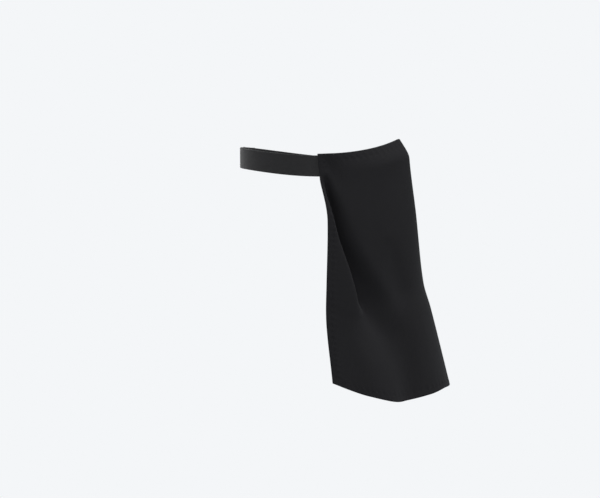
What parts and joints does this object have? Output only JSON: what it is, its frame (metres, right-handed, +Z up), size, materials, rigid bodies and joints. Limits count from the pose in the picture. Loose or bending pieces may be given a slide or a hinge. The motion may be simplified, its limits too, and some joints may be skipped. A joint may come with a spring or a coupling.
{
  "type": "half niqab",
  "caption": "Draped black face panel with turned hems that hangs from the nose bridge over the chest, held by flat straps closed behind the head.",
  "frame": {"origin": "middle of the head loop, at the height of the straps at the temples", "axes": "+Z up the face; the wearer faces -Y and the wearer's left is +X"},
  "size_m": [0.2285, 0.2585, 0.3096],
  "materials": {
    "crepe": "matte crepe",
    "strap": "flat woven tape",
    "fastener": "hook and loop pad"
  },
  "bodies": {
    "root": {"face_panel": "crepe", "right_strap": "strap", "left_strap": "strap", "back_fastener": "fastener"}
  },
  "joints": []
}
